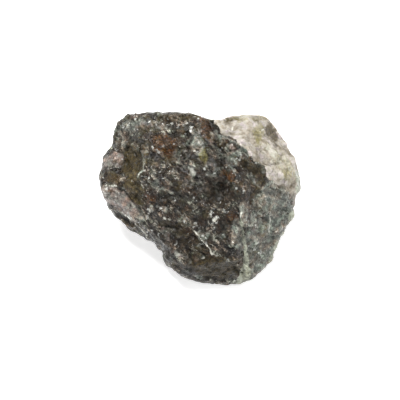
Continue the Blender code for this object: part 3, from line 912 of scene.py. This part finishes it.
@dataclass(frozen=True)
class BrokenIoliteFinish:
    """Rough iolite in biotite gneiss, broken and washed.

    Smoky brown cordierite with a greasy lustre is crossed by ragged veils of pale grey-green mica and
    felspar, partly painted sheen, so that the eye sees dark glassy places between frosted ones, with
    small glints painted into the colour where a cleavage face turns to the light. Lengths are in
    millimetres.
    """

    grain: float = 0.55
    drift: float = 2.4
    wander: float = 1.4
    layers_run: tuple[float, float, float] = (0.64, -0.67, -0.38)
    squeeze: float = 0.62
    ground: tuple[str, ...] = ("#0d0b09", "#1a1611", "#292118", "#211f17", "#30291d")
    black: str = "#060504"
    # Veil tones: pale mica and felspar, and painted sheen.
    veil_and_sheen_tones: tuple[str, ...] = ("#504c43", "#928a7b", "#d0cdc1")
    # Fleck tones: pale grains, and painted glints.
    glint_tones: tuple[str, str] = ("#c0c2b8", "#f6f7f2")
    schist_pepper: str = "#22221c"
    tints: tuple[str, ...] = ("#b2beb9", "#bbbbba", "#c8b7ae")
    rock_looks: tuple[MineralLook, ...] = (
        MineralLook(Mineral.LIMONITE, ("#211c14", "#342d20", "#46402f"), 0.20, 1.00, 0.85),
        MineralLook(
            Mineral.SCHIST, ("#464742", "#767870", "#a3a69c"), 0.30, 0.85, 0.85, pattern=Pattern.VEIL
        ),
        MineralLook(Mineral.FELSPAR, ("#655e5a", "#89817a"), 0.35, 0.95, 0.90, 0.6),
        MineralLook(
            Mineral.RUST, ("#120b07", "#3b2610", "#5c3d1e"), 0.25, 1.00, 0.85, pattern=Pattern.FINE
        ),
    )
    top_looks: tuple[MineralLook, ...] = (
        MineralLook(
            Mineral.QUARTZ, ("#7a7262", "#9b9285", "#a5a094", "#b2a8a5"), 0.35, 0.65, pattern=Pattern.COARSE
        ),
        MineralLook(Mineral.LIMONITE, ("#2d2617", "#4e4328"), 0.45, 1.25, 0.80),
        MineralLook(Mineral.VEIN, ("#707365", "#a2a594"), 0.20, 0.80, 0.90, 0.5),
        MineralLook(Mineral.STAIN, ("#5f592c", "#8d8650"), 0.15, 1.00, 0.65),
        # Whitish: the real scratch and pale grains, and painted highlights and glints.
        MineralLook(Mineral.SCRATCH_AND_HIGHLIGHT, ("#c9c8b8", "#efeee4"), 0.30, 0.90, 0.90, 0.7),
        # Near black: smoky rock, and painted shade in the hollow and the cleft.
        MineralLook(Mineral.SMOKE, ("#0e0c09", "#191611"), 0.00, 1.30, 0.78),
    )

    def material(self) -> bpy.types.Material:
        """Builds the node material.

        Returns:
            The material, ready for the lump's only slot.
        """
        material = bpy.data.materials.new("rough iolite in gneiss, broken and washed")
        material.use_nodes = True
        tree = material.node_tree
        shader = tree.nodes["Principled BSDF"]
        place = self.place(tree)
        levels = self.levels(tree, place)
        amounts = {}
        for mineral in Mineral:
            amounts[mineral] = add_node(tree, "Attribute", None, "Fac", attribute_name=mineral.value)
        grains = add_node(tree, "TexVoronoi", {"Vector": place, "Scale": 1 / self.grain}).node
        rock, veil = self.dark_rock(tree, levels, amounts)
        colour = self.minerals(tree, levels, amounts, grains, rock)
        tree.links.new(self.shaded(tree, levels, amounts, colour), shader.inputs["Base Color"])
        tree.links.new(self.gloss(tree, grains, veil), shader.inputs["Roughness"])
        tree.links.new(self.relief(tree, place, levels, grains, veil), shader.inputs["Normal"])
        tree.links.new(self.shine(tree, amounts), shader.inputs["Specular IOR Level"])
        shader.inputs["IOR"].default_value = 1.54
        shader.inputs["Coat Weight"].default_value = 0.06
        shader.inputs["Coat Roughness"].default_value = 0.12
        return material

    def place(self, tree: bpy.types.NodeTree) -> bpy.types.NodeSocket:
        """Object coordinates in millimetres, moved about a little so that every pattern flows.

        Args:
            tree: The material's nodes.

        Returns:
            The coordinates.
        """
        metres = add_node(tree, "TexCoord", None, "Object")
        place = add_node(tree, "VectorMath", {0: metres, "Scale": 1 / MM}, operation="SCALE")
        inputs = {"Vector": place, "Scale": 1 / self.drift, "Detail": 3.0}
        drift = add_node(tree, "TexNoise", inputs, "Color")
        centred = add_node(tree, "VectorMath", {0: drift, 1: (0.5, 0.5, 0.5)}, operation="SUBTRACT")
        inputs = {0: centred, 1: (self.wander,) * 3, 2: place}
        return add_node(tree, "VectorMath", inputs, operation="MULTIPLY_ADD")

    def levels(
        self, tree: bpy.types.NodeTree, place: bpy.types.NodeSocket
    ) -> dict[Pattern, bpy.types.NodeSocket]:
        """The cloudy patterns, each a level about 0.5.

        Args:
            tree: The material's nodes.
            place: The coordinates in millimetres.

        Returns:
            A level for each pattern.
        """
        run = tuple(Vector(self.layers_run).normalized())
        along = add_node(tree, "VectorMath", {0: place, 1: run}, "Value", operation="DOT_PRODUCT")
        back = add_node(tree, "Math", {0: along, 1: -self.squeeze}, operation="MULTIPLY")
        step = add_node(tree, "VectorMath", {0: run, "Scale": back}, operation="SCALE")
        drawn = add_node(tree, "VectorMath", {0: place, 1: step}, operation="ADD")
        levels = {}
        for pattern in Pattern:
            size, octaves, roughness, drawn_out = pattern.value
            inputs = {"Vector": drawn if drawn_out else place, "Scale": 1 / size}
            inputs |= {"Detail": octaves, "Roughness": roughness}
            levels[pattern] = add_node(tree, "TexNoise", inputs, "Fac")
        return levels

    def dark_rock(
        self,
        tree: bpy.types.NodeTree,
        levels: dict[Pattern, bpy.types.NodeSocket],
        amounts: dict[Mineral, bpy.types.NodeSocket],
    ) -> tuple[bpy.types.NodeSocket, bpy.types.NodeSocket]:
        """The smoky brown rock and the pale veils across it, partly painted sheen.

        Args:
            tree: The material's nodes.
            levels: The cloudy patterns.
            amounts: How much there is of each mineral.

        Returns:
            The colour, and how much of the veil there is.
        """
        rock = add_node(tree, "ValToRGB", {0: levels[Pattern.CLOUD]}, stops=spread(self.ground, 0.34, 0.66))
        inputs = {0: levels[Pattern.FINE], "From Min": 0.3, "From Max": 0.7, "To Min": 0.3, "To Max": 1.8}
        fine = add_node(tree, "MapRange", inputs)
        inputs = {0: 1.0, UNDER: rock, OVER: fine}
        rock = add_node(tree, "Mix", inputs, MIXED, data_type="RGBA", blend_type="MULTIPLY")
        inputs = {0: levels[Pattern.DARK], "From Min": 0.52, "From Max": 0.62, "To Max": 0.7}
        inputs = {0: add_node(tree, "MapRange", inputs), UNDER: rock, OVER: linear(self.black)}
        rock = add_node(tree, "Mix", inputs, MIXED, data_type="RGBA")
        # The pale veils: mica and felspar, and painted sheen on the broken surface.
        inputs = {0: levels[Pattern.VEIL], "From Min": 0.51, "From Max": 0.62, "To Max": 0.9}
        body = add_node(tree, "MapRange", inputs)
        off = add_node(tree, "Math", {0: levels[Pattern.WISP], 1: 0.5}, operation="SUBTRACT")
        off = add_node(tree, "Math", {0: off}, operation="ABSOLUTE")
        wisps = add_node(tree, "MapRange", {0: off, "From Max": 0.11, "To Min": 1.5, "To Max": 1.0})
        body = add_node(tree, "Math", {0: body, 1: wisps}, operation="MULTIPLY")
        inputs = {0: levels[Pattern.WHERE], "From Min": 0.44, "From Max": 0.57, "To Min": 0.12}
        where = add_node(tree, "MapRange", inputs)
        where = add_node(tree, "Math", {0: where, 1: amounts[Mineral.GLINT]}, operation="ADD")
        veil = add_node(tree, "Math", {0: body, 1: where}, operation="MULTIPLY", use_clamp=True)
        stops = spread(self.veil_and_sheen_tones, 0.35, 0.62)
        tone = add_node(tree, "ValToRGB", {0: levels[Pattern.FINE]}, stops=stops)
        return add_node(tree, "Mix", {0: veil, UNDER: rock, OVER: tone}, MIXED, data_type="RGBA"), veil

    @staticmethod
    def laid_over(
        tree: bpy.types.NodeTree,
        looks: tuple[MineralLook, ...],
        levels: dict[Pattern, bpy.types.NodeSocket],
        amounts: dict[Mineral, bpy.types.NodeSocket],
        colour: bpy.types.NodeSocket,
    ) -> bpy.types.NodeSocket:
        """Lays minerals over a colour, one after another, ragged along the grains.

        Args:
            tree: The material's nodes.
            looks: The minerals' looks, the lowest first.
            levels: The cloudy patterns.
            amounts: How much there is of each mineral.
            colour: What they lie on.

        Returns:
            The colour with the minerals on it.
        """
        inputs = {0: levels[Pattern.RAGGED], "From Min": 0.25, "From Max": 0.75}
        inputs |= {"To Min": -0.42, "To Max": 0.42}
        ragged = add_node(tree, "MapRange", inputs)
        for look in looks:
            inputs = {0: ragged, 1: look.ragged, 2: amounts[look.mineral]}
            level = add_node(tree, "Math", inputs, operation="MULTIPLY_ADD")
            inputs = {0: level, "From Min": look.start, "From Max": look.full, "To Max": look.most}
            share = add_node(tree, "MapRange", inputs)
            tone = add_node(tree, "ValToRGB", {0: levels[look.pattern]}, stops=spread(look.tones))
            colour = add_node(tree, "Mix", {0: share, UNDER: colour, OVER: tone}, MIXED, data_type="RGBA")
        return colour

    def minerals(
        self,
        tree: bpy.types.NodeTree,
        levels: dict[Pattern, bpy.types.NodeSocket],
        amounts: dict[Mineral, bpy.types.NodeSocket],
        grains: bpy.types.Node,
        rock: bpy.types.NodeSocket,
    ) -> bpy.types.NodeSocket:
        """Lays the minerals, and bright flecks of pale grains and painted glints, over the dark rock.

        Args:
            tree: The material's nodes.
            levels: The cloudy patterns.
            amounts: How much there is of each mineral.
            grains: The cells of the broken grain, each with a colour of its own.
            rock: The dark rock's colour.

        Returns:
            The colour.
        """
        colour = self.laid_over(tree, self.rock_looks, levels, amounts, rock)
        tint = add_node(tree, "ValToRGB", {0: levels[Pattern.TINT]}, stops=spread(self.tints))
        inputs = {0: 1.0, UNDER: colour, OVER: tint}
        colour = add_node(tree, "Mix", inputs, MIXED, data_type="RGBA", blend_type="OVERLAY")
        inputs = {0: levels[Pattern.PEPPER], "From Min": 0.52, "From Max": 0.60, "To Max": 0.65}
        pepper = add_node(tree, "MapRange", inputs)
        pepper = add_node(tree, "Math", {0: pepper, 1: amounts[Mineral.SCHIST]}, operation="MULTIPLY")
        inputs = {0: pepper, UNDER: colour, OVER: linear(self.schist_pepper)}
        colour = add_node(tree, "Mix", inputs, MIXED, data_type="RGBA")
        # Bright flecks: pale grains, and painted glints where a cell stands for a cleavage face turned to
        # the light.
        inputs = {0: amounts[Mineral.GLINT], 1: 0.13, 2: levels[Pattern.FLECKS]}
        flecks = add_node(tree, "Math", inputs, operation="MULTIPLY_ADD")
        flecks = add_node(tree, "MapRange", {0: flecks, "From Min": 0.67, "From Max": 0.73})
        own = add_node(tree, "SeparateColor", {0: grains.outputs["Color"]}, "Blue")
        inputs = {0: amounts[Mineral.GLINT], 1: 0.16, 2: own}
        own = add_node(tree, "Math", inputs, operation="MULTIPLY_ADD")
        turned = add_node(tree, "MapRange", {0: own, "From Min": 0.97, "From Max": 1.02, "To Max": 0.6})
        flecks = add_node(tree, "Math", {0: flecks, 1: turned}, operation="MAXIMUM")
        pale = add_node(tree, "ValToRGB", {0: levels[Pattern.FINE]}, stops=spread(self.glint_tones))
        colour = add_node(tree, "Mix", {0: flecks, UNDER: colour, OVER: pale}, MIXED, data_type="RGBA")
        return self.laid_over(tree, self.top_looks, levels, amounts, colour)

    def shaded(
        self,
        tree: bpy.types.NodeTree,
        levels: dict[Pattern, bpy.types.NodeSocket],
        amounts: dict[Mineral, bpy.types.NodeSocket],
        colour: bpy.types.NodeSocket,
    ) -> bpy.types.NodeSocket:
        """Speckles the colour finely, paints shade into the hollows and paints highlights onto the edges.

        Args:
            tree: The material's nodes.
            levels: The cloudy patterns.
            amounts: How much there is of each mineral.
            colour: The minerals' colour.

        Returns:
            The finished colour.
        """
        inputs = {0: levels[Pattern.SPECKLE], "From Min": 0.25, "From Max": 0.75}
        inputs |= {"To Min": 0.35, "To Max": 1.72}
        speckle = add_node(tree, "MapRange", inputs)
        inputs = {0: amounts[Mineral.QUARTZ], 1: -0.6, 2: 1.0}
        full = add_node(tree, "Math", inputs, operation="MULTIPLY_ADD")
        inputs = {0: full, UNDER: colour, OVER: speckle}
        colour = add_node(tree, "Mix", inputs, MIXED, data_type="RGBA", blend_type="MULTIPLY")
        # Painted shade in the hollows and painted highlights on the edges.
        hollow = add_node(tree, "Attribute", None, "Fac", attribute_name="hollow")
        inputs = {0: hollow, "From Min": 0.1, "From Max": 0.9, "To Min": 1.38, "To Max": 0.38}
        inputs = {0: full, UNDER: colour, OVER: add_node(tree, "MapRange", inputs)}
        return add_node(tree, "Mix", inputs, MIXED, data_type="RGBA", blend_type="MULTIPLY")

    def gloss(
        self, tree: bpy.types.NodeTree, grains: bpy.types.Node, veil: bpy.types.NodeSocket
    ) -> bpy.types.NodeSocket:
        """Glassy where it is smoky, frosted under the veils, with a cleavage face here and there.

        Args:
            tree: The material's nodes.
            grains: The cells of the broken grain, each with a colour of its own.
            veil: How much of the pale veil there is.

        Returns:
            The roughness.
        """
        own = add_node(tree, "SeparateColor", {0: grains.outputs["Color"]}, "Green")
        inputs = {0: own, "From Min": 0.1, "From Max": 0.9, "To Min": -0.10, "To Max": 0.12}
        own = add_node(tree, "MapRange", inputs)
        frosted = add_node(tree, "MapRange", {0: veil, "From Max": 0.6, "To Min": 0.26, "To Max": 0.48})
        return add_node(tree, "Math", {0: own, 1: frosted}, operation="ADD")

    @staticmethod
    def shine(
        tree: bpy.types.NodeTree, amounts: dict[Mineral, bpy.types.NodeSocket]
    ) -> bpy.types.NodeSocket:
        """Duller where weathering coats the rock, so that the white table shows less in it.

        Args:
            tree: The material's nodes.
            amounts: How much there is of each mineral.

        Returns:
            The strength of the mirror-like part of the light.
        """
        inputs = {0: amounts[Mineral.LIMONITE], "From Max": 0.8, "To Min": 0.22, "To Max": 0.12}
        return add_node(tree, "MapRange", inputs)

    def relief(
        self,
        tree: bpy.types.NodeTree,
        place: bpy.types.NodeSocket,
        levels: dict[Pattern, bpy.types.NodeSocket],
        grains: bpy.types.Node,
        veil: bpy.types.NodeSocket,
    ) -> bpy.types.NodeSocket:
        """Small flat faces tilted their own ways, and a fine grit where the surface is frosted.

        Args:
            tree: The material's nodes.
            place: The coordinates in millimetres.
            levels: The cloudy patterns.
            grains: The cells of the broken grain, each with a colour of its own.
            veil: How much of the pale veil there is.

        Returns:
            The bent normal.
        """
        away = add_node(tree, "VectorMath", {0: place, 1: grains.outputs["Position"]}, operation="SUBTRACT")
        inputs = {0: grains.outputs["Color"], 1: (0.5, 0.5, 0.5)}
        tilt = add_node(tree, "VectorMath", inputs, operation="SUBTRACT")
        height = add_node(tree, "VectorMath", {0: away, 1: tilt}, "Value", operation="DOT_PRODUCT")
        facets = add_node(tree, "Bump", {"Height": height, "Strength": 0.6, "Distance": MM})
        frost = add_node(tree, "Math", {0: veil, 1: levels[Pattern.FROST]}, operation="MULTIPLY")
        frost = add_node(tree, "Math", {0: frost, 1: 0.25}, operation="MULTIPLY")
        inputs = {0: levels[Pattern.PEPPER], 1: 0.35, 2: frost}
        grit = add_node(tree, "Math", inputs, operation="MULTIPLY_ADD")
        inputs = {"Height": grit, "Strength": 0.8, "Distance": MM, "Normal": facets}
        return add_node(tree, "Bump", inputs)


@dataclass(frozen=True)
class Softbox:
    """A large soft lamp: its place and width in metres, its power in watts and where it is aimed."""

    name: str
    place: tuple[float, float, float]
    width: float
    power: float
    aim: tuple[float, float, float] = (0.0, 0.0, 0.01)

    def build(self) -> None:
        """Adds the lamp, turned to the lump."""
        bpy.ops.object.light_add(type="AREA", location=self.place)
        lamp = bpy.context.object
        lamp.name = self.name
        lamp.data.size = self.width
        lamp.data.energy = self.power
        run = Vector(self.aim) - Vector(self.place)
        lamp.rotation_euler = run.to_track_quat("-Z", "Y").to_euler()


@dataclass(frozen=True)
class Studio:
    """The white table, the soft light and the camera."""

    view_distance: float = 0.6
    view_width: float = 0.1
    sensor: float = 36.0
    aim: tuple[float, float] = (0.125, -0.5)
    floor_width: float = 3.0
    world_strength: float = 0.24
    table_glow: float = 0.70
    boxes: tuple[Softbox, ...] = (
        Softbox("softbox_overhead", (-0.10, 0.14, 0.60), 0.28, 7.4),
        Softbox("softbox_right", (0.50, -0.16, 0.38), 0.55, 1.3),
    )

    def build(self) -> None:
        """Adds all of it."""
        self.lay_floor()
        for box in self.boxes:
            box.build()
        self.fill_with_light()
        self.set_camera()

    def lay_floor(self) -> None:
        """A plain white table top that the lump rests on, matt, so that it shows no reflection of it."""
        bpy.ops.mesh.primitive_plane_add(size=self.floor_width, location=(0.0, 0.0, 0.0))
        floor = bpy.context.object
        floor.name = "table_top"
        material = bpy.data.materials.new("white acrylic, matt")
        material.use_nodes = True
        shader = material.node_tree.nodes["Principled BSDF"]
        shader.inputs["Base Color"].default_value = linear("#f4f4f4")
        shader.inputs["Roughness"].default_value = 0.8
        shader.inputs["Emission Color"].default_value = (1.0, 1.0, 1.0, 1.0)
        shader.inputs["Emission Strength"].default_value = self.table_glow
        floor.data.materials.append(material)

    def fill_with_light(self) -> None:
        """A pale even surround."""
        world = bpy.data.worlds.new("pale studio")
        world.use_nodes = True
        background = world.node_tree.nodes["Background"]
        background.inputs["Color"].default_value = (1.0, 1.0, 1.0, 1.0)
        background.inputs["Strength"].default_value = self.world_strength
        bpy.context.scene.world = world
        bpy.context.scene.view_settings.view_transform = "Standard"

    def set_camera(self) -> None:
        """Looks square at the broad face, from far enough off to look flat."""
        data = bpy.data.cameras.new("camera")
        data.sensor_width = self.sensor
        data.lens = self.sensor * self.view_distance / self.view_width
        data.clip_start = 0.01
        camera = bpy.data.objects.new("camera", data)
        bpy.context.scene.collection.objects.link(camera)
        out = FACE.axes.transposed() @ Vector((0.0, 0.0, 1.0))
        camera.location = FACE.to_room(Vector((*self.aim, 0.0))) + out * self.view_distance
        camera.rotation_euler = out.to_track_quat("Z", "Y").to_euler()
        bpy.context.scene.camera = camera


def main() -> None:
    """Builds the lump's skin, its finish and the studio."""
    logging.basicConfig(level=logging.INFO, format="%(name)s: %(message)s")
    Studio().build()
    LOG.info("studio ready")
    stone = BrokenSurface().build()
    LOG.info("%s: %d faces", stone.name, len(stone.data.polygons))
    stone.data.materials.append(BrokenIoliteFinish().material())
    LOG.info("%s: finish ready", stone.name)
    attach(stone, "root")
    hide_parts(NODE)


if __name__ == "__main__":
    main()
